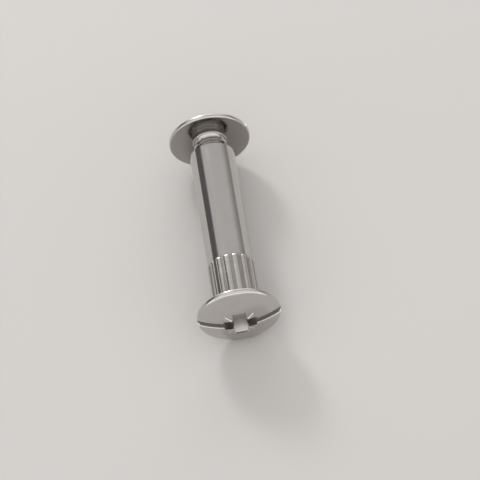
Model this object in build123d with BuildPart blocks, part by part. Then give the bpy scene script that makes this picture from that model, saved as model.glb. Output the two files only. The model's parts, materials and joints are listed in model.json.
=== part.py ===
from build123d import *
import os

# A binding barrel screw: a sleeve nut with a ribbed neck, and the screw that threads into it
# from the other side of the boards that the pair clamps. All sizes are in millimetres.
#
# The pair lies on its side. The common axis runs along Y at the height of a head's radius, the
# sleeve nut's head is at -Y and the screw's head at +Y. The origin is on the ground, under the
# middle of the pair.

# ---- both heads ----
head_dia = 14.5               # over the rim
rim_height = 0.8              # from the seat face to the foot of the dome
dome_rise = 1.85              # from the foot of the dome to its top
seat_edge_chamfer = 0.25      # between the seat face and the rim
face_edge_radius = 0.45       # rounding between the rim and the dome

# ---- the drive: a slot across the dome and a cross recess with marks between its wings ----
slot_width = 1.5
slot_depth = 0.45             # the slot's floor follows the dome this far below it
wing_reach = 3.0              # from the axis to a wing's end, at the top of the dome
wing_foot_reach = 1.7         # the same at the recess's floor, so the wing's end wall slopes
wing_width = 2.3
recess_depth = 2.6            # below the top of the dome
core_mouth_dia = 3.7          # the round core that opens the corners between the wings
core_floor_dia = 2.5
mark_reach = 3.4              # from the axis to a mark's end
mark_width = 0.3
mark_depth = 0.14
mark_turn = 45.0              # degrees from the slot, to either side of it

# ---- the sleeve nut ----
barrel_dia = 8.0
barrel_length = 34.0          # from the head's seat face to the open end
barrel_end_chamfer = 0.3
bore_mouth_chamfer = 0.6
bore_tip_room = 1.5           # between the screw's tip and the bore's floor, screwed home
drill_point_angle = 118.0     # included angle of the bore's floor

rib_count = 16
rib_length = 7.4              # from the seat face to the end of a rib's nose
rib_radius = 0.8              # a rib's rounded section and its ball nose
rib_height = 0.16             # crest above the barrel
rib_turn = 7.5                # degrees from the slot to the first rib

# ---- the screw ----
thread_dia = 6.0              # over the thread's crests
shank_length = 28.0           # from the head's seat face to the tip
tip_chamfer = 0.7
screw_turn = 156.0            # degrees that the screw's slot is turned from the nut's slot

# ---- how the two sit together ----
open_gap = 3.0                # from the sleeve's open end to the screw's seat face
thread_clearance = 0.05       # radial, between the thread's crests and the bore

# ---- sizes that follow ----
head_radius = head_dia / 2
head_height = rim_height + dome_rise
dome_radius = (head_radius**2 + dome_rise**2) / (2 * dome_rise)
dome_centre_height = head_height - dome_radius
barrel_radius = barrel_dia / 2
thread_radius = thread_dia / 2
bore_radius = thread_radius + thread_clearance
bore_depth = shank_length + bore_tip_room
rib_centre_radius = barrel_radius + rib_height - rib_radius
rib_straight = rib_length - rib_radius

seat_distance = barrel_length + open_gap
axis_height = head_radius
nut_seat_y = -seat_distance / 2
mouth_y = nut_seat_y + barrel_length
screw_seat_y = nut_seat_y + seat_distance

common_axis = Axis((0, 0, axis_height), (0, 1, 0))
nut_seat = Plane(origin=(0, nut_seat_y, axis_height), x_dir=(1, 0, 0), z_dir=(0, -1, 0))
screw_seat = Plane(origin=(0, screw_seat_y, axis_height), x_dir=(1, 0, 0), z_dir=(0, 1, 0))
mouth_section = Plane(origin=(0, mouth_y, axis_height), x_dir=(1, 0, 0), z_dir=(0, 0, 1))


def groove_under_dome(reach, width, depth):
    """A cutter along X, to both sides of the axis, whose floor follows the dome at one depth."""
    with BuildPart() as groove:
        with BuildSketch(Plane.XZ):
            with Locations((0, head_height / 2)):
                Rectangle(2 * reach, head_height)
            with Locations((0, dome_centre_height)):
                Circle(dome_radius - depth, mode=Mode.SUBTRACT)
        extrude(amount=width / 2, both=True)
    return groove.part


# One head serves both pieces. Its seat face is on XY and its dome rises along Z.
with BuildPart() as head:
    with BuildSketch(Plane.XZ) as head_section:
        with BuildLine():
            seat_line = Line((0, 0), (head_radius, 0))
            rim_line = Line(seat_line @ 1, (head_radius, rim_height))
            dome_line = RadiusArc(rim_line @ 1, (0, head_height), -dome_radius)
            Line(dome_line @ 1, seat_line @ 0)
        make_face()
        seat_corner, dome_corner = head_section.vertices().group_by(Axis.X)[-1].sort_by(Axis.Y)
        chamfer(seat_corner, seat_edge_chamfer)
        fillet(dome_corner, face_edge_radius)
    revolve(axis=Axis.Z)

    # The slot runs right across the head and out through the rim.
    add(groove_under_dome(head_radius, slot_width, slot_depth), mode=Mode.SUBTRACT)

    # The marks are short lines that cross on the axis and show between the wings.
    for turn in (mark_turn, -mark_turn):
        add(
            groove_under_dome(mark_reach, mark_width, mark_depth),
            rotation=(0, 0, turn),
            mode=Mode.SUBTRACT,
        )

    for wing_plane in (Plane.XZ, Plane.YZ):
        with BuildSketch(wing_plane.offset(-wing_width / 2)):
            with BuildLine():
                Polyline(
                    (-wing_reach, head_height),
                    (wing_reach, head_height),
                    (wing_foot_reach, head_height - recess_depth),
                    (-wing_foot_reach, head_height - recess_depth),
                    close=True,
                )
            make_face()
        extrude(amount=wing_width, mode=Mode.SUBTRACT)
    with Locations((0, 0, head_height)):
        Cone(
            core_floor_dia / 2,
            core_mouth_dia / 2,
            recess_depth,
            align=(Align.CENTER, Align.CENTER, Align.MAX),
            mode=Mode.SUBTRACT,
        )

# The sleeve nut: head, ribbed neck, smooth barrel and a blind bore from the open end.
with BuildPart() as barrel_nut:
    add(head.part.moved(nut_seat.location))
    with BuildSketch(nut_seat):
        Circle(barrel_radius)
    extrude(amount=-barrel_length)
    chamfer(
        barrel_nut.edges().filter_by(GeomType.CIRCLE).sort_by(Axis.Y)[-1],
        barrel_end_chamfer,
    )

    # Ribs with ball noses bite into the board's hole and stop the nut turning.
    with BuildSketch(nut_seat):
        with PolarLocations(rib_centre_radius, rib_count, start_angle=rib_turn):
            Circle(rib_radius)
    extrude(amount=-rib_straight)
    with Locations(nut_seat.offset(-rib_straight)):
        with PolarLocations(rib_centre_radius, rib_count, start_angle=rib_turn):
            Sphere(rib_radius)

    with BuildSketch(mouth_section):
        with BuildLine():
            mouth_line = Line((0, 0), (bore_radius + bore_mouth_chamfer, 0))
            lead_in = Line(mouth_line @ 1, (bore_radius, -bore_mouth_chamfer))
            wall_line = Line(lead_in @ 1, (bore_radius, -bore_depth))
            point_line = PolarLine(
                wall_line @ 1,
                bore_radius,
                direction=(-1, 0),
                angle=90 - drill_point_angle / 2,
                length_mode=LengthMode.HORIZONTAL,
            )
            Line(point_line @ 1, mouth_line @ 0)
        make_face()
    revolve(axis=common_axis, mode=Mode.SUBTRACT)
barrel_nut.part.label = "barrel_nut"

# The screw: the same head on a shank as wide as its thread's crests.
with BuildPart() as screw:
    add(head.part.moved(screw_seat.location * Rotation(0, 0, screw_turn)))
    with BuildSketch(screw_seat):
        Circle(thread_radius)
    extrude(amount=-shank_length)
    chamfer(screw.edges().filter_by(GeomType.CIRCLE).sort_by(Axis.Y)[0], tip_chamfer)
screw.part.label = "screw"

os.makedirs("parts", exist_ok=True)
export_step(barrel_nut.part, "parts/barrel_nut.step")
export_step(screw.part, "parts/screw.step")
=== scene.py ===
"""A binding barrel screw: the sleeve nut with its ribbed neck, and the screw that threads into it."""
import json
from math import asin, cos, pi, radians, sin, tan

import bmesh
import bpy
from mathutils import Matrix, Vector


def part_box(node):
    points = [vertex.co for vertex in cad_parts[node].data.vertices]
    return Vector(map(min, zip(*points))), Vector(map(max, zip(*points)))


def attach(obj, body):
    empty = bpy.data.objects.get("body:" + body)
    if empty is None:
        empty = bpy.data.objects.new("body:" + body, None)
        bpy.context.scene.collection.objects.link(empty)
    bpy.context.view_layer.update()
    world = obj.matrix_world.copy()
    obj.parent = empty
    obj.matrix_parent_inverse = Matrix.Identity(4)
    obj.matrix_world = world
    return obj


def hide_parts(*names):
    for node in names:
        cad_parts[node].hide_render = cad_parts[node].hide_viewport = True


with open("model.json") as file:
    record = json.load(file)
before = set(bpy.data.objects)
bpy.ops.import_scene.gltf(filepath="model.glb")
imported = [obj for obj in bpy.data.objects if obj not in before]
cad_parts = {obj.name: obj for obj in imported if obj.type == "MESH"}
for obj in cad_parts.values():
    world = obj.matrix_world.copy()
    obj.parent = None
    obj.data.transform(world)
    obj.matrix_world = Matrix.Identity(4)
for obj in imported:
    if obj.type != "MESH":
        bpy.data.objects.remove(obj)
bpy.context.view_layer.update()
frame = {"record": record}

MM = 0.001

# ---- what the frame gives ----
nut_low, nut_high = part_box("barrel_nut")
screw_low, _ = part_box("screw")
mounts = {mount["name"]: mount for mount in frame["record"]["mounts"]}

HEAD_RADIUS = (nut_high.x - nut_low.x) / 2
AXIS_HEIGHT = (nut_high.z + nut_low.z) / 2
MOUTH_Y = nut_high.y
TIP_Y = screw_low.y

# ---- both heads ----
RIM_HEIGHT = 0.8 * MM
DOME_RISE = 1.85 * MM
SEAT_EDGE = 0.25 * MM
FACE_EDGE = 0.45 * MM
SEAT_LEVEL = 0.01 * MM          # a face whose middle is lower than this belongs to the seat face
HEAD_HEIGHT = RIM_HEIGHT + DOME_RISE
DOME_RADIUS = (HEAD_RADIUS**2 + DOME_RISE**2) / (2 * DOME_RISE)
DOME_CENTRE = HEAD_HEIGHT - DOME_RADIUS

NUT_SEAT_Y = mounts["nut_seat"]["pos_m"][1]
SCREW_SEAT_Y = mounts["screw_seat"]["pos_m"][1]
DOME_TOP = HEAD_HEIGHT - NUT_SEAT_Y     # from the middle of the pair to the top of either dome

# ---- the drive ----
SLOT_WIDTH = 1.5 * MM
SLOT_DEPTH = 0.45 * MM
WING_REACH = 3.0 * MM
WING_FOOT_REACH = 1.7 * MM
WING_WIDTH = 2.3 * MM
RECESS_DEPTH = 2.6 * MM
CORE_MOUTH_RADIUS = 1.85 * MM
CORE_FLOOR_RADIUS = 1.25 * MM
MARK_REACH = 3.4 * MM
MARK_WIDTH = 0.3 * MM
MARK_DEPTH = 0.14 * MM
MARK_TURN = radians(45)
SLOT_DRAFT = radians(12)
MARK_DRAFT = radians(40)
SLOT_EDGE = 0.11 * MM           # the slope that breaks the slot's edges
MARK_EDGE = 0.02 * MM
WING_EDGE = 0.06 * MM
WING_EDGE_DEPTH = 0.18 * MM     # how far the slope that breaks a wing's edges goes down
WING_TOP_DEPTH = 0.21 * MM
WING_TOP_REACH = 2.9 * MM
CUTTER_ROOM = 1.0 * MM          # how far a recess cutter stands above the dome
GROOVE_ROOM = 0.6 * MM          # the same for a groove cutter

# ---- the sleeve ----
BARREL_RADIUS = 4.0 * MM
BARREL_LENGTH = MOUTH_Y - NUT_SEAT_Y
BARREL_END_EDGE = 0.3 * MM
BORE_RADIUS = 3.05 * MM
BORE_DEPTH = 29.5 * MM
BORE_MOUTH_EDGE = 0.6 * MM
DRILL_POINT = radians(59)       # half the included angle
BORE_GROOVE_RADIUS = 3.36 * MM  # the tapped grooves' floor
BORE_POCKET_RADIUS = 3.44 * MM  # where the tapped lining meets the sleeve's wall
BORE_LINING_START = 0.22 * MM   # from the open end
TAPPED_LENGTH = 24.0 * MM
RIB_COUNT = 16
RIB_LENGTH = 10.0 * MM
RIB_RADIUS = 0.8 * MM
RIB_HEIGHT = 0.16 * MM
RIB_TURN = radians(7.5)
RIB_SUNK = 0.3 * MM             # how deep a rib's foot is buried in the sleeve's wall
NOSE_CLEAR = 1.1 * MM           # from a nose's end back to where painted shade lies between the ribs

# ---- the screw ----
THREAD_RADIUS = 3.0 * MM
THREAD_ROOT_RADIUS = 2.55 * MM
THREAD_PITCH = 0.75 * MM
THREAD_SHOULDER = 0.04 * MM     # the small slope at either side of a crest
THREAD_RUN_OUT = 0.3            # how much of a pitch the thread takes to fade out at the neck
SHANK_LENGTH = SCREW_SEAT_Y - TIP_Y
NECK_LENGTH = 0.78 * MM
NECK_RADIUS = 2.7 * MM          # where the thread starts
NECK_FOOT_RADIUS = 2.92 * MM
NECK_FILLET = 0.15 * MM         # the hollow round that joins the neck to the seat face
TIP_EDGE = 0.7 * MM
SCREW_TURN = radians(156)

# ---- how finely the pieces are made ----
ROUND_STEPS = 192               # around a head or the sleeve
THREAD_STEPS = 64               # around one turn of the thread
DOME_STEPS = 48                 # from a dome's top to its rim, and along a groove
FACE_EDGE_STEPS = 10
SEAT_EDGE_STEPS = 8
NECK_FILLET_STEPS = 8
RIB_STEPS = 32
CORE_STEPS = 64
SAME_PLACE = 1e-7               # corners nearer than this are one corner

SMOOTH_BELOW = radians(30)      # an edge that bends less than this looks smooth
THREAD_SMOOTH_BELOW = radians(50)
SUNK = 0.02 * MM                # how far a piece reaches into the one that carries it
QUARTER = radians(90)

AXIS = Vector((0, 0, 1))

# ---- the room's light levels ----
CEILING = 0.65
OVERHEAD = 1.30
FRONT_WINDOW = 1.48
FRONT_CEILING = 1.0
BACK_WINDOW = 2.5
PALE_WALL = 0.34
DARK_WALL = 0.135
UNLIT_CORNER = 0.20
ROOM_TINT = (1, 0.975, 0.955)   # the whole room's light is a little warm


# ---------------------------------------------------------------- making and placing pieces
# Each piece is turned about Z with its seat face on z = 0 and its dome upwards, and is then laid
# along the common axis.

def nut_place():
    """From the turning position to the sleeve nut's place, dome towards -Y."""
    return Matrix.Translation((0, NUT_SEAT_Y, AXIS_HEIGHT)) @ Matrix.Rotation(QUARTER, 4, "X")


def screw_place():
    """From the turning position to the screw's place, dome towards +Y."""
    laid = Matrix.Rotation(-QUARTER, 4, "X") @ Matrix.Rotation(SCREW_TURN, 4, "Z")
    return Matrix.Translation((0, SCREW_SEAT_Y, AXIS_HEIGHT)) @ laid


def finish_piece(name, bm, place, body, finishes, smooth_below=SMOOTH_BELOW):
    """Lays the piece in its place, marks its hard edges and hands it to its body."""
    bmesh.ops.transform(bm, matrix=place, verts=bm.verts)
    bmesh.ops.recalc_face_normals(bm, faces=bm.faces)
    for face in bm.faces:
        face.smooth = True
    for edge in bm.edges:
        edge.smooth = len(edge.link_faces) == 2 and edge.calc_face_angle(0) < smooth_below
    mesh = bpy.data.meshes.new(name)
    bm.to_mesh(mesh)
    bm.free()
    for material in finishes:
        mesh.materials.append(material)
    piece = bpy.data.objects.new(name, mesh)
    bpy.context.scene.collection.objects.link(piece)
    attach(piece, body)
    return piece


def join_up(bm, corners):
    """Edges from each corner to the next."""
    return [bm.edges.new(pair) for pair in zip(corners, corners[1:])]


def turn_full(bm, steps=ROUND_STEPS):
    """Turns the profile drawn on XZ about the axis into a closed skin."""
    bmesh.ops.spin(
        bm, geom=bm.verts[:] + bm.edges[:], cent=(0, 0, 0), axis=AXIS, dvec=(0, 0, 0),
        angle=2 * pi, steps=steps, use_merge=True, use_duplicate=False,
    )
    bmesh.ops.remove_doubles(bm, verts=bm.verts, dist=SAME_PLACE)
    bmesh.ops.dissolve_degenerate(bm, dist=SAME_PLACE / 10, edges=bm.edges)


def draw_arc(bm, start, centre, angle, steps):
    """Draws an arc in XZ by turning its first corner about the centre, and gives its last corner."""
    bmesh.ops.spin(
        bm, geom=[start], cent=centre, axis=(0, 1, 0), dvec=(0, 0, 0),
        angle=angle, steps=steps, use_merge=False, use_duplicate=False,
    )
    bm.verts.ensure_lookup_table()
    return bm.verts[-1]


def draw_head(bm):
    """The head's half section, from the middle of the dome round to the seat face's outer edge."""
    to_round = DOME_RADIUS - FACE_EDGE
    lean = asin((HEAD_RADIUS - FACE_EDGE) / to_round)
    top = bm.verts.new((0, 0, HEAD_HEIGHT))
    shoulder = draw_arc(bm, top, (0, 0, DOME_CENTRE), lean, DOME_STEPS)
    round_centre = Vector((0, 0, DOME_CENTRE)) + to_round * Vector((sin(lean), 0, cos(lean)))
    rim_top = draw_arc(bm, shoulder, round_centre, QUARTER - lean, FACE_EDGE_STEPS)
    seat_round = bm.verts.new((HEAD_RADIUS, 0, SEAT_EDGE))
    bm.edges.new((rim_top, seat_round))
    seat_centre = (HEAD_RADIUS - SEAT_EDGE, 0, SEAT_EDGE)
    return draw_arc(bm, seat_round, seat_centre, QUARTER, SEAT_EDGE_STEPS)


# ---------------------------------------------------------------- the drive
# A head's faces carry one of five finishes, in this order.
DOME, RIM, SEAT, RECESS, GROOVE_FLOOR = range(5)


def swept_cutter(width, depth, draft, edge, reach, turn):
    """A groove cutter with broken top edges, swept so that its floor follows the dome."""
    bm = bmesh.new()
    half = width / 2
    wall_top = half - edge
    floor_half = wall_top - (depth - edge) * tan(draft)
    section = (
        (-floor_half, -depth), (floor_half, -depth), (wall_top, -edge),
        (half + GROOVE_ROOM, GROOVE_ROOM), (-half - GROOVE_ROOM, GROOVE_ROOM), (-wall_top, -edge),
    )
    corners = [bm.verts.new((0, y, HEAD_HEIGHT + z)) for y, z in section]
    face = bm.faces.new(corners)
    swing = reach / DOME_RADIUS
    centre = (0, 0, DOME_CENTRE)
    bmesh.ops.rotate(bm, cent=centre, matrix=Matrix.Rotation(-swing, 3, "Y"), verts=bm.verts)
    bmesh.ops.spin(
        bm, geom=[face], cent=centre, axis=(0, 1, 0), dvec=(0, 0, 0),
        angle=2 * swing, steps=DOME_STEPS, use_merge=False, use_duplicate=False,
    )
    nearly_floor = DOME_RADIUS - 0.9 * depth
    for face in bm.faces:
        from_centre = (face.calc_center_median() - Vector(centre)).length
        face.material_index = GROOVE_FLOOR if from_centre < nearly_floor else DOME
    bmesh.ops.rotate(bm, cent=(0, 0, 0), matrix=Matrix.Rotation(turn, 3, "Z"), verts=bm.verts)
    bmesh.ops.recalc_face_normals(bm, faces=bm.faces)
    return bm


def wing_cutter(turn):
    """One bar of the cross recess, with sloping end walls."""
    bm = bmesh.new()
    bmesh.ops.create_cube(bm, size=1)
    bmesh.ops.scale(bm, vec=(1, WING_WIDTH, 1), verts=bm.verts)
    slope = (WING_REACH - WING_FOOT_REACH) / RECESS_DEPTH
    for corner in bm.verts:
        corner.co.z = HEAD_HEIGHT + (CUTTER_ROOM if corner.co.z > 0 else -RECESS_DEPTH)
        reach = WING_REACH + slope * (corner.co.z - HEAD_HEIGHT)
        corner.co.x = reach if corner.co.x > 0 else -reach
    for face in bm.faces:
        face.material_index = RECESS
    bmesh.ops.rotate(bm, cent=(0, 0, 0), matrix=Matrix.Rotation(turn, 3, "Z"), verts=bm.verts)
    return bm


def core_cutter():
    """The round core that opens the corners between the wings."""
    bm = bmesh.new()
    height = RECESS_DEPTH + CUTTER_ROOM
    slope = (CORE_MOUTH_RADIUS - CORE_FLOOR_RADIUS) / RECESS_DEPTH
    bmesh.ops.create_cone(
        bm, cap_ends=True, segments=CORE_STEPS, radius1=CORE_FLOOR_RADIUS,
        radius2=CORE_MOUTH_RADIUS + slope * CUTTER_ROOM, depth=height,
    )
    middle = HEAD_HEIGHT + CUTTER_ROOM - height / 2
    bmesh.ops.translate(bm, vec=(0, 0, middle), verts=bm.verts)
    for face in bm.faces:
        face.material_index = RECESS
    return bm


def cut_away(bm, cutters, finishes):
    """The mesh with each cutter taken out of it. The cut faces take the cutter's own finishes."""
    mesh = bpy.data.meshes.new("blank")
    bm.to_mesh(mesh)
    bm.free()
    for material in finishes:
        mesh.materials.append(material)
    blank = bpy.data.objects.new("blank", mesh)
    bpy.context.scene.collection.objects.link(blank)
    tools = []
    for cutter in cutters:
        tool_mesh = bpy.data.meshes.new("cutter")
        cutter.to_mesh(tool_mesh)
        cutter.free()
        tool = bpy.data.objects.new("cutter", tool_mesh)
        bpy.context.scene.collection.objects.link(tool)
        cut = blank.modifiers.new("cut", "BOOLEAN")
        cut.operation = "DIFFERENCE"
        cut.solver = "EXACT"
        cut.object = tool
        tools.append(tool)
    bpy.context.view_layer.update()
    graph = bpy.context.evaluated_depsgraph_get()
    made = bpy.data.meshes.new_from_object(blank.evaluated_get(graph))
    result = bmesh.new()
    result.from_mesh(made)
    for thing in [blank] + tools:
        used = thing.data
        bpy.data.objects.remove(thing)
        bpy.data.meshes.remove(used)
    bpy.data.meshes.remove(made)
    return result


def press_drive(bm, finishes):
    """Presses the slot, the cross recess and its marks into the head."""
    past_rim = HEAD_RADIUS * 1.2
    wing_top = WING_WIDTH + 2 * WING_EDGE
    cutters = [swept_cutter(SLOT_WIDTH, SLOT_DEPTH, SLOT_DRAFT, SLOT_EDGE, past_rim, 0)]
    for turn in (MARK_TURN, -MARK_TURN):
        cutters.append(swept_cutter(MARK_WIDTH, MARK_DEPTH, MARK_DRAFT, MARK_EDGE, MARK_REACH, turn))
    for turn in (0, QUARTER):
        cutters.append(swept_cutter(wing_top, WING_TOP_DEPTH, 0, WING_EDGE_DEPTH, WING_TOP_REACH, turn))
    cutters += [wing_cutter(0), wing_cutter(QUARTER), core_cutter()]
    return cut_away(bm, cutters, finishes)


# ---------------------------------------------------------------- pieces
def pressed_head(finishes):
    """The mesh of a head with its drive pressed in, which both pieces carry."""
    bm = bmesh.new()
    seat_edge = draw_head(bm)
    seat_middle = bm.verts.new((0, 0, 0))
    bm.edges.new((seat_edge, seat_middle))
    turn_full(bm)
    bmesh.ops.recalc_face_normals(bm, faces=bm.faces)
    for face in bm.faces:
        middle = face.calc_center_median()
        if middle.z < SEAT_LEVEL:
            face.material_index = SEAT
        elif SEAT_EDGE < middle.z < RIM_HEIGHT:
            face.material_index = RIM
        else:
            face.material_index = DOME
    bm = press_drive(bm, finishes)
    mesh = bpy.data.meshes.new("pressed_head")
    bm.to_mesh(mesh)
    bm.free()
    return mesh


def make_head(name, head_mesh, place, body, finishes):
    """A head on its own piece, where the common axis has it."""
    bm = bmesh.new()
    bm.from_mesh(head_mesh)
    return finish_piece(name, bm, place, body, finishes)


def turned_piece(outline, steps=ROUND_STEPS):
    """A closed piece turned from an outline of radii and heights that starts and ends on the axis."""
    bm = bmesh.new()
    join_up(bm, [bm.verts.new((radius, 0, height)) for radius, height in outline])
    turn_full(bm, steps)
    return bm


def make_sleeve(material):
    """The sleeve with its blind bore. Its closed end is buried in the head."""
    mouth = -BARREL_LENGTH
    bore_floor = mouth + BORE_DEPTH
    bm = turned_piece((
        (0, SUNK),
        (BARREL_RADIUS, SUNK),
        (BARREL_RADIUS, -RIB_LENGTH),
        (BARREL_RADIUS, mouth + BARREL_END_EDGE),
        (BARREL_RADIUS - BARREL_END_EDGE, mouth),
        (BORE_RADIUS + BORE_MOUTH_EDGE, mouth),
        (BORE_RADIUS + BORE_MOUTH_EDGE - BORE_LINING_START, mouth + BORE_LINING_START),
        (BORE_POCKET_RADIUS, mouth + BORE_LINING_START),
        (BORE_POCKET_RADIUS, mouth + BORE_LINING_START + TAPPED_LENGTH),
        (BORE_RADIUS, mouth + BORE_LINING_START + TAPPED_LENGTH),
        (BORE_RADIUS, bore_floor),
        (0, bore_floor + BORE_RADIUS / tan(DRILL_POINT)),
    ))
    return finish_piece("sleeve", bm, nut_place(), "barrel_nut", [material])


def make_ribs(material):
    """The ribs that stand from the neck, each with a ball nose towards the open end."""
    bm = bmesh.new()
    centre_radius = BARREL_RADIUS + RIB_HEIGHT - RIB_RADIUS
    bmesh.ops.create_uvsphere(bm, u_segments=RIB_STEPS, v_segments=RIB_STEPS, radius=RIB_RADIUS)
    bmesh.ops.bisect_plane(
        bm, geom=bm.verts[:] + bm.edges[:] + bm.faces[:], plane_co=(0, 0, 0),
        plane_no=(0, 0, 1), clear_outer=True,
    )
    open_edges = [edge for edge in bm.edges if edge.is_boundary]
    stretched = bmesh.ops.extrude_edge_only(bm, edges=open_edges)
    top = [part for part in stretched["geom"] if isinstance(part, bmesh.types.BMVert)]
    straight = RIB_LENGTH - RIB_RADIUS
    bmesh.ops.translate(bm, vec=(0, 0, straight), verts=top)
    bmesh.ops.translate(bm, vec=(centre_radius, 0, -straight), verts=bm.verts)
    bmesh.ops.bisect_plane(
        bm, geom=bm.verts[:] + bm.edges[:] + bm.faces[:], plane_co=(BARREL_RADIUS - RIB_SUNK, 0, 0),
        plane_no=(-1, 0, 0), clear_outer=True,
    )
    bmesh.ops.holes_fill(bm, edges=[edge for edge in bm.edges if edge.is_boundary], sides=0)
    rib = bm.verts[:] + bm.edges[:] + bm.faces[:]
    bmesh.ops.rotate(bm, cent=(0, 0, 0), matrix=Matrix.Rotation(RIB_TURN, 3, "Z"), verts=bm.verts)
    others = RIB_COUNT - 1
    bmesh.ops.spin(
        bm, geom=rib, cent=(0, 0, 0), axis=AXIS, dvec=(0, 0, 0),
        angle=2 * pi * others / RIB_COUNT, steps=others, use_merge=False, use_duplicate=True,
    )
    return finish_piece("sleeve_ribs", bm, nut_place(), "barrel_nut", [material])


def make_neck(material):
    """The tapered neck between the screw's head and its thread, with a hollow round at its foot."""
    bm = bmesh.new()
    hollow = NECK_FOOT_RADIUS + NECK_FILLET
    foot = bm.verts.new((hollow, 0, 0))
    neck_top = draw_arc(bm, foot, (hollow, 0, -NECK_FILLET), -QUARTER, NECK_FILLET_STEPS)
    neck_end = -NECK_LENGTH - THREAD_PITCH / 4
    below = ((NECK_RADIUS, -NECK_LENGTH), (THREAD_ROOT_RADIUS - SUNK, neck_end), (0, neck_end))
    above = ((hollow, SUNK), (0, SUNK))
    join_up(bm, [neck_top] + [bm.verts.new((radius, 0, height)) for radius, height in below])
    join_up(bm, [foot] + [bm.verts.new((radius, 0, height)) for radius, height in above])
    turn_full(bm)
    return finish_piece("screw_neck", bm, screw_place(), "screw", [material])


def wind_thread(section, low, high):
    """A thread's skin between two heights, from a section of radii and shares of the pitch. It is
    wound past both heights and cut off level, and both ends are left open."""
    bm = bmesh.new()
    turns = int((high - low) / THREAD_PITCH) + 3
    start = low - 2 * THREAD_PITCH
    corners = [bm.verts.new((radius, 0, start + share * THREAD_PITCH)) for radius, share in section]
    edges = join_up(bm, corners)
    bmesh.ops.spin(
        bm, geom=corners + edges, cent=(0, 0, 0), axis=AXIS,
        dvec=(0, 0, THREAD_PITCH / THREAD_STEPS), angle=2 * pi * turns,
        steps=THREAD_STEPS * turns, use_merge=False, use_duplicate=False,
    )
    bmesh.ops.remove_doubles(bm, verts=bm.verts, dist=10 * SAME_PLACE)
    for end, outward in ((low, -1), (high, 1)):
        bmesh.ops.bisect_plane(
            bm, geom=bm.verts[:] + bm.edges[:] + bm.faces[:], plane_co=(0, 0, end),
            plane_no=(0, 0, outward), clear_outer=True,
        )
    return bm


def make_thread(material):
    """The screw's thread, with a run-out at the neck and a chamfered tip."""
    bottom = -SHANK_LENGTH
    top = -NECK_LENGTH
    flank_foot = THREAD_ROOT_RADIUS + 0.1 * (THREAD_RADIUS - THREAD_ROOT_RADIUS)
    flank_top = THREAD_RADIUS - THREAD_SHOULDER
    bm = wind_thread((
        (THREAD_ROOT_RADIUS, 0.0),
        (THREAD_ROOT_RADIUS, 0.14),
        (flank_foot, 0.19),
        (flank_top, 0.48),
        (THREAD_RADIUS, 0.50),
        (THREAD_RADIUS, 0.64),
        (flank_top, 0.66),
        (flank_foot, 0.95),
        (THREAD_ROOT_RADIUS, 1.0),
    ), bottom, top)
    for corner in bm.verts:
        radius = corner.co.xy.length
        tip_limit = THREAD_RADIUS - TIP_EDGE + corner.co.z - bottom
        run_out = min(1.0, (top - corner.co.z) / (THREAD_RUN_OUT * THREAD_PITCH))
        limit = min(tip_limit, NECK_RADIUS + (THREAD_RADIUS - NECK_RADIUS) * run_out)
        if radius > limit:
            corner.co.xy *= limit / radius
    bmesh.ops.holes_fill(bm, edges=[edge for edge in bm.edges if edge.is_boundary], sides=0)
    return finish_piece(
        "screw_thread", bm, screw_place(), "screw", [material], THREAD_SMOOTH_BELOW,
    )


def make_bore_thread(material):
    """The thread tapped in the sleeve: a lining of the bore whose grooves run out in its mouth."""
    start = BORE_LINING_START - BARREL_LENGTH
    end = start + TAPPED_LENGTH
    bm = wind_thread((
        (BORE_RADIUS, 0.0),
        (BORE_RADIUS, 0.24),
        (BORE_GROOVE_RADIUS, 0.50),
        (BORE_GROOVE_RADIUS, 0.62),
        (BORE_RADIUS, 0.88),
        (BORE_RADIUS, 1.0),
    ), start, end)
    mouth_radius = BORE_RADIUS + BORE_MOUTH_EDGE
    for corner in bm.verts:
        radius = corner.co.xy.length
        flare = mouth_radius - (corner.co.z + BARREL_LENGTH)
        if radius < flare:
            corner.co.xy *= flare / radius
    rims = []
    for height in (start, end):
        rim = [
            edge for edge in bm.edges
            if edge.is_boundary and all(abs(corner.co.z - height) < SAME_PLACE for corner in edge.verts)
        ]
        grown = bmesh.ops.extrude_edge_only(bm, edges=rim)["geom"]
        for corner in [part for part in grown if isinstance(part, bmesh.types.BMVert)]:
            corner.co.xy *= (BORE_POCKET_RADIUS + SUNK) / corner.co.xy.length
        rims += [part for part in grown if isinstance(part, bmesh.types.BMEdge) and part.is_boundary]
    bmesh.ops.bridge_loops(bm, edges=rims)
    return finish_piece(
        "sleeve_thread", bm, nut_place(), "barrel_nut", [material], THREAD_SMOOTH_BELOW,
    )


# ---------------------------------------------------------------- finishes
def feed(tree, socket, value):
    """Links a socket's source, or sets its plain value."""
    if isinstance(value, bpy.types.NodeSocket):
        tree.links.new(value, socket)
    else:
        socket.default_value = value


def calc(tree, operation, *values):
    """One step of arithmetic on sockets and plain numbers."""
    node = tree.nodes.new("ShaderNodeMath")
    node.operation = operation
    for socket, value in zip(node.inputs, values):
        feed(tree, socket, value)
    return node.outputs[0]


def fade(tree, value, low, high, start=0.0, end=1.0):
    """Goes softly from start to end as the value goes from low to high."""
    node = tree.nodes.new("ShaderNodeMapRange")
    node.interpolation_type = "SMOOTHSTEP"
    for name, given in (
        ("Value", value), ("From Min", low), ("From Max", high), ("To Min", start), ("To Max", end),
    ):
        feed(tree, node.inputs[name], given)
    return node.outputs["Result"]


def noise(tree, position, scale, detail):
    """A cloudy value about one half, with so many patches to the metre."""
    node = tree.nodes.new("ShaderNodeTexNoise")
    for name, given in (("Vector", position), ("Scale", scale), ("Detail", detail)):
        feed(tree, node.inputs[name], given)
    return node.outputs[0]


def mix_colours(tree, share, first, second):
    """The first colour, with a share of the second."""
    node = tree.nodes.new("ShaderNodeMix")
    node.data_type = "RGBA"
    for socket, given in ((node.inputs[0], share), (node.inputs[6], first), (node.inputs[7], second)):
        feed(tree, socket, given)
    return node.outputs[2]


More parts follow.
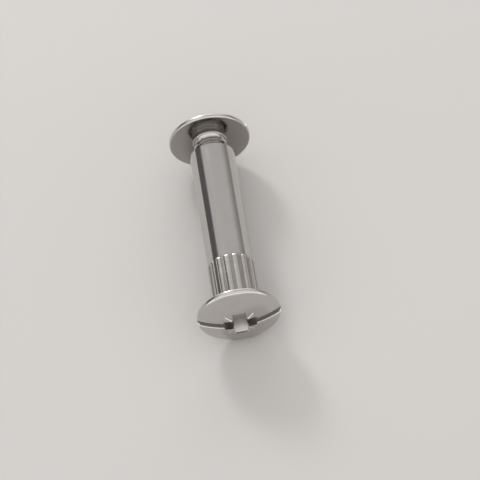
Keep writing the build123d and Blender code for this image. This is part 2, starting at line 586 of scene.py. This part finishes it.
def new_group(name, inputs, outputs):
    """An effect with named sockets, and the sources of its inputs and the sockets of its outputs."""
    group = bpy.data.node_groups.new(name, "ShaderNodeTree")
    for label, kind in inputs:
        group.interface.new_socket(label, in_out="INPUT", socket_type=kind)
    for label, kind in outputs:
        group.interface.new_socket(label, in_out="OUTPUT", socket_type=kind)
    given = group.nodes.new("NodeGroupInput").outputs
    put_out = group.nodes.new("NodeGroupOutput").inputs
    return group, given, put_out


def use_group(tree, group, **values):
    """Places an effect in a material, with that material's own values."""
    node = tree.nodes.new("ShaderNodeGroup")
    node.node_tree = group
    for name, value in values.items():
        feed(tree, node.inputs[name.replace("_", " ")], value)
    return node.outputs


VECTOR, FLOAT = "NodeSocketVector", "NodeSocketFloat"


def axis_group():
    """How far a point is from the common axis, and how far along it."""
    group, given, put_out = new_group(
        "axis_place", [("Position", VECTOR)], [("Radius", FLOAT), ("Along", FLOAT)],
    )
    split = group.nodes.new("ShaderNodeSeparateXYZ")
    group.links.new(given["Position"], split.inputs[0])
    height = calc(group, "SUBTRACT", split.outputs["Z"], AXIS_HEIGHT)
    across = calc(group, "MULTIPLY", split.outputs["X"], split.outputs["X"])
    squared = calc(group, "MULTIPLY_ADD", height, height, across)
    group.links.new(calc(group, "SQRT", squared), put_out["Radius"])
    group.links.new(split.outputs["Y"], put_out["Along"])
    return group


def turning_group(axis_place):
    """Fine rings left by the lathe: lines of even height round the axis."""
    group, given, put_out = new_group(
        "turning_marks", [("Position", VECTOR), ("Lines per Metre", FLOAT)], [("Height", FLOAT)],
    )
    place = use_group(group, axis_place, Position=given["Position"])
    rings = group.nodes.new("ShaderNodeCombineXYZ")
    for measure, direction in (("Radius", "X"), ("Along", "Y")):
        lines = calc(group, "MULTIPLY", place[measure], given["Lines per Metre"])
        group.links.new(lines, rings.inputs[direction])
    group.links.new(noise(group, rings.outputs[0], 1.0, 3.0), put_out["Height"])
    return group


def speck_group():
    """Small dark specks, far apart."""
    group, given, put_out = new_group(
        "plating_specks", [("Position", VECTOR), ("Scale", FLOAT), ("Size", FLOAT)], [("Mask", FLOAT)],
    )
    cells = group.nodes.new("ShaderNodeTexVoronoi")
    group.links.new(given["Position"], cells.inputs["Vector"])
    group.links.new(given["Scale"], cells.inputs["Scale"])
    inner = calc(group, "MULTIPLY", given["Size"], 0.5)
    speck = fade(group, cells.outputs["Distance"], inner, given["Size"], 1.0, 0.0)
    group.links.new(speck, put_out["Mask"])
    return group


def film_group():
    """Handling marks: broad patches where the polish is duller, broken up by finer ones."""
    group, given, put_out = new_group(
        "handling_film", [("Position", VECTOR), ("Scale", FLOAT)], [("Mask", FLOAT)],
    )
    broad = noise(group, given["Position"], given["Scale"], 2.0)
    fine = noise(group, given["Position"], calc(group, "MULTIPLY", given["Scale"], 9.0), 3.0)
    both = calc(group, "MULTIPLY_ADD", fine, 0.35, broad)
    group.links.new(fade(group, both, 0.52, 0.86), put_out["Mask"])
    return group


def shade_group(name, axis_place, measure, scale, wander):
    """Painted shade up to one place and none past another, with a border that wanders."""
    group, given, put_out = new_group(
        name, [("Position", VECTOR), ("Dark Place", FLOAT), ("Clear Place", FLOAT)], [("Mask", FLOAT)],
    )
    place = use_group(group, axis_place, Position=given["Position"])
    patches = noise(group, given["Position"], scale, 3.0)
    ragged = calc(group, "MULTIPLY_ADD", patches, 2 * wander, -wander)
    reached = calc(group, "ADD", measure(group, place), ragged)
    painted_shade = fade(group, reached, given["Dark Place"], given["Clear Place"], 1.0, 0.0)
    group.links.new(painted_shade, put_out["Mask"])
    return group


def from_axis(tree, place):
    """The distance from the common axis, for painted shade in the valleys between ribs or crests."""
    return place["Radius"]


def from_middle(tree, place):
    """The distance along the axis from the pair's middle, for painted shade deep in either drive."""
    return calc(tree, "ABSOLUTE", place["Along"])


def along_axis(tree, place):
    """The place along the axis, for painted shade between the ribs round the sleeve's foot."""
    return place["Along"]


axis_place = axis_group()
turning_marks = turning_group(axis_place)
plating_specks = speck_group()
handling_film = film_group()
# Masks of painted shade: in the valleys between ribs and thread crests, deep in both drives, and between
# the ribs near the head.
valley_residue = shade_group("valley_residue", axis_place, from_axis, 1400.0, 0.025 * MM)
recess_residue = shade_group("recess_residue", axis_place, from_middle, 900.0, 0.4 * MM)
foot_residue = shade_group("foot_residue", axis_place, along_axis, 900.0, 0.4 * MM)

BRIGHT = (0.56, 0.544, 0.529, 1)
DULLED = (0.44, 0.425, 0.410, 1)
# The seat faces' colour is darkened to paint the shade that lies on the heads' undersides.
SEAT_SHADE_TONE = (0.42, 0.403, 0.388, 1)
# Dark colour for the real specks and pits, and for painted shade in valleys, recesses and between the ribs.
DIRT_AND_SHADE = (0.085, 0.066, 0.055, 1)
PAPER = (0.50, 0.488, 0.478, 1)

# Patches of each mark to the metre, and the size of a speck or pit within its patch.
FILM_SCALE = 170.0
SPECK_SCALE, SPECK_SIZE = 420.0, 0.055
PIT_SCALE, PIT_SIZE = 2300.0, 0.16
WAVE_SCALE = 520.0
GRAIN_SCALE = 9000.0


def darker(tree, dark, mask, share):
    """What is dark already, or a share of the mask where that is darker."""
    return calc(tree, "MAXIMUM", dark, calc(tree, "MULTIPLY", mask, share))


def plated_metal(name, colour, roughness, wave, grain, lines=0.0, ring=0.0, pits=0.0, painted_shade=None):
    """Bright plate: a base colour with dull patches and specks, a roughness between two values, and
    a relief of broad waves, fine grain and lathe rings, each given by its height. Painted shade is
    given by its effect, its dark and clear places and its strength."""
    material = bpy.data.materials.new(name)
    material.use_nodes = True
    tree = material.node_tree
    shader = tree.nodes["Principled BSDF"]
    shader.inputs["Metallic"].default_value = 1
    position = tree.nodes.new("ShaderNodeTexCoord").outputs["Object"]

    film = use_group(tree, handling_film, Position=position, Scale=FILM_SCALE)["Mask"]
    specks = use_group(tree, plating_specks, Position=position, Scale=SPECK_SCALE, Size=SPECK_SIZE)["Mask"]
    surface = mix_colours(tree, calc(tree, "MULTIPLY", film, 0.25), colour, DULLED)
    dark = calc(tree, "MULTIPLY", specks, 0.55)
    if pits:
        pitting = use_group(tree, plating_specks, Position=position, Scale=PIT_SCALE, Size=PIT_SIZE)["Mask"]
        dark = darker(tree, dark, pitting, calc(tree, "MULTIPLY", film, pits))
    # Painted shade: the base colour darkens where shade falls in valleys, recesses and between the ribs.
    if painted_shade:
        effect, dark_place, clear_place, strength = painted_shade
        shaded = use_group(tree, effect, Position=position, Dark_Place=dark_place, Clear_Place=clear_place)
        dark = darker(tree, dark, shaded["Mask"], strength)
    surface = mix_colours(tree, dark, surface, DIRT_AND_SHADE)
    feed(tree, shader.inputs["Base Color"], surface)

    low, high = roughness
    rough = calc(tree, "MULTIPLY_ADD", film, high - low, low)
    feed(tree, shader.inputs["Roughness"], calc(tree, "MULTIPLY_ADD", dark, 0.3, rough))

    height = calc(tree, "MULTIPLY", noise(tree, position, WAVE_SCALE, 1.0), wave)
    height = calc(tree, "MULTIPLY_ADD", noise(tree, position, GRAIN_SCALE, 2.0), grain, height)
    if lines:
        rings = use_group(tree, turning_marks, Position=position, Lines_per_Metre=lines)["Height"]
        height = calc(tree, "MULTIPLY_ADD", rings, ring, height)
    bump = tree.nodes.new("ShaderNodeBump")
    bump.inputs["Distance"].default_value = 1.0
    feed(tree, bump.inputs["Height"], height)
    feed(tree, shader.inputs["Normal"], bump.outputs["Normal"])
    return material


# ---------------------------------------------------------------- studio
def make_floor():
    """A plain sheet of pale paper that the pair lies on."""
    mesh = bpy.data.meshes.new("floor")
    bm = bmesh.new()
    bmesh.ops.create_grid(bm, x_segments=1, y_segments=1, size=4)
    bm.to_mesh(mesh)
    bm.free()
    floor = bpy.data.objects.new("floor", mesh)
    bpy.context.scene.collection.objects.link(floor)
    material = bpy.data.materials.new("floor_paper")
    material.use_nodes = True
    shader = material.node_tree.nodes["Principled BSDF"]
    shader.inputs["Base Color"].default_value = PAPER
    shader.inputs["Roughness"].default_value = 0.9
    mesh.materials.append(material)


def tone_ramp(tree, rise, stops):
    """A grey that changes with the height of the direction that is looked in."""
    node = tree.nodes.new("ShaderNodeValToRGB")
    node.color_ramp.interpolation = "EASE"
    elements = node.color_ramp.elements
    while len(elements) < len(stops):
        elements.new(0.5)
    for element, (height, level) in zip(elements, stops):
        element.position = height
        element.color = [level * tint for tint in ROOM_TINT] + [1]
    feed(tree, node.inputs["Fac"], rise)
    return node.outputs["Color"]


def make_world():
    """A plain room round the pair: an even ceiling with a broad light across it overhead, a dark wall
    behind the pair on its left and a paler one on its right, low windows in front and behind, and two
    unlit corners above the ends of the front window."""
    world = bpy.data.worlds.new("studio")
    bpy.context.scene.world = world
    world.use_nodes = True
    tree = world.node_tree
    split = tree.nodes.new("ShaderNodeSeparateXYZ")
    tree.links.new(tree.nodes.new("ShaderNodeTexCoord").outputs["Generated"], split.inputs["Vector"])
    side, depth, rise = split.outputs

    left_wall = tone_ramp(tree, rise, ((0.43, DARK_WALL), (0.52, CEILING)))
    right_wall = tone_ramp(tree, rise, ((0.12, PALE_WALL), (0.58, CEILING)))
    room = mix_colours(tree, fade(tree, side, -0.15, 0.25), left_wall, right_wall)
    back = tone_ramp(tree, rise, (
        (0.18, DARK_WALL), (0.28, BACK_WINDOW), (0.62, BACK_WINDOW), (0.74, CEILING),
    ))
    room = mix_colours(tree, fade(tree, depth, 0.68, 0.76), room, back)
    overhead = tone_ramp(tree, rise, ((0.12, PALE_WALL), (0.60, OVERHEAD)))
    room = mix_colours(tree, fade(tree, depth, 0.42, 0.20), room, overhead)
    front = tone_ramp(tree, rise, ((0.46, FRONT_WINDOW), (0.60, FRONT_CEILING)))
    corners = tone_ramp(tree, rise, (
        (0.42, FRONT_WINDOW), (0.50, UNLIT_CORNER), (0.70, UNLIT_CORNER), (0.82, OVERHEAD),
    ))
    front = mix_colours(tree, fade(tree, calc(tree, "ABSOLUTE", side), 0.60, 0.78), front, corners)
    room = mix_colours(tree, fade(tree, depth, -0.08, -0.32), room, front)
    feed(tree, tree.nodes["Background"].inputs["Color"], room)


def make_lamp(name, towards, distance, size, power):
    """A square lamp that faces the middle of the pair."""
    light = bpy.data.lights.new(name, "AREA")
    light.size = size
    light.energy = power
    lamp = bpy.data.objects.new(name, light)
    direction = Vector(towards).normalized()
    lamp.location = Vector((0, 0, AXIS_HEIGHT)) + direction * distance
    lamp.rotation_euler = direction.to_track_quat("Z", "Y").to_euler()
    bpy.context.scene.collection.objects.link(lamp)


def make_camera():
    """Looks down along the pair from the sleeve nut's end, with a long lens."""
    elevation = radians(55.05)
    roll = radians(9.8)
    distance = 522.9 * MM
    aim = Vector((2.33 * MM, -3.68 * MM, AXIS_HEIGHT))
    data = bpy.data.cameras.new("camera")
    data.lens = 225
    data.sensor_width = 36
    data.clip_start = 0.01
    camera = bpy.data.objects.new("camera", data)
    back = Vector((0, -cos(elevation), sin(elevation)))
    camera.location = aim + back * distance
    look = back.to_track_quat("Z", "Y").to_matrix()
    camera.rotation_euler = (look @ Matrix.Rotation(-roll, 3, "Z")).to_euler()
    bpy.context.scene.collection.objects.link(camera)
    bpy.context.scene.camera = camera


# ---------------------------------------------------------------- the pair in its studio
bright_plate = plated_metal("bright_plate", BRIGHT, (0.06, 0.14), wave=7e-6, grain=1.5e-7)
# The barrel darkens between the ribs near the head: painted shade.
barrel_plate = plated_metal(
    "drawn_barrel", BRIGHT, (0.08, 0.14), wave=6e-6, grain=2e-7, lines=2600, ring=4e-7, pits=0.6,
    painted_shade=(foot_residue, NUT_SEAT_Y + RIB_LENGTH - NOSE_CLEAR, NUT_SEAT_Y + RIB_LENGTH, 0.50),
)
rim_plate = plated_metal(
    "satin_rim", BRIGHT, (0.17, 0.25), wave=6e-6, grain=8e-7, lines=9000, ring=1e-6,
)
# The seat's darker colour is painted shade; its lathe rings are a real relief.
seat_plate = plated_metal(
    "turned_seat", SEAT_SHADE_TONE, (0.10, 0.18), wave=3e-6, grain=2e-7, lines=5200, ring=6e-6,
)
# The recess darkens deep down: painted shade.
recess_plate = plated_metal(
    "pressed_recess", BRIGHT, (0.18, 0.30), wave=1.0e-5, grain=1.0e-6,
    painted_shade=(recess_residue, DOME_TOP - 2.0 * MM, DOME_TOP - 0.8 * MM, 0.30),
)
# The groove floors darken: painted shade on a duller plate.
groove_plate = plated_metal(
    "pressed_groove", DULLED, (0.22, 0.36), wave=1.0e-5, grain=1.0e-6,
    painted_shade=(recess_residue, DOME_TOP - 0.3 * MM, DOME_TOP + 1.0 * MM, 0.74),
)
# The ribs darken in the valleys between them: painted shade.
rib_plate = plated_metal(
    "satin_ribs", BRIGHT, (0.15, 0.25), wave=8e-6, grain=1.0e-6,
    painted_shade=(valley_residue, BARREL_RADIUS + 0.01 * MM, BARREL_RADIUS + 0.07 * MM, 0.75),
)
# The thread darkens at its roots: painted shade.
thread_plate = plated_metal(
    "rolled_thread", BRIGHT, (0.10, 0.20), wave=4e-6, grain=5e-7,
    painted_shade=(valley_residue, THREAD_ROOT_RADIUS, THREAD_ROOT_RADIUS + 0.2 * MM, 0.50),
)
bore_plate = plated_metal("tapped_bore", DULLED, (0.14, 0.24), wave=4e-6, grain=5e-7)

head_finishes = [bright_plate, rim_plate, seat_plate, recess_plate, groove_plate]
head_mesh = pressed_head(head_finishes)
sleeve_head = make_head("sleeve_head", head_mesh, nut_place(), "barrel_nut", head_finishes)
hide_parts("barrel_nut")
make_sleeve(barrel_plate)
make_ribs(rib_plate)
make_bore_thread(bore_plate)

screw_head = make_head("screw_head", head_mesh, screw_place(), "screw", head_finishes)
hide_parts("screw")
make_neck(bright_plate)
make_thread(thread_plate)

make_floor()
make_world()
make_lamp("back_light", towards=(-0.26, 0.80, 0.54), distance=0.6, size=0.12, power=1.25)
make_camera()

bpy.context.scene.view_settings.view_transform = "Standard"
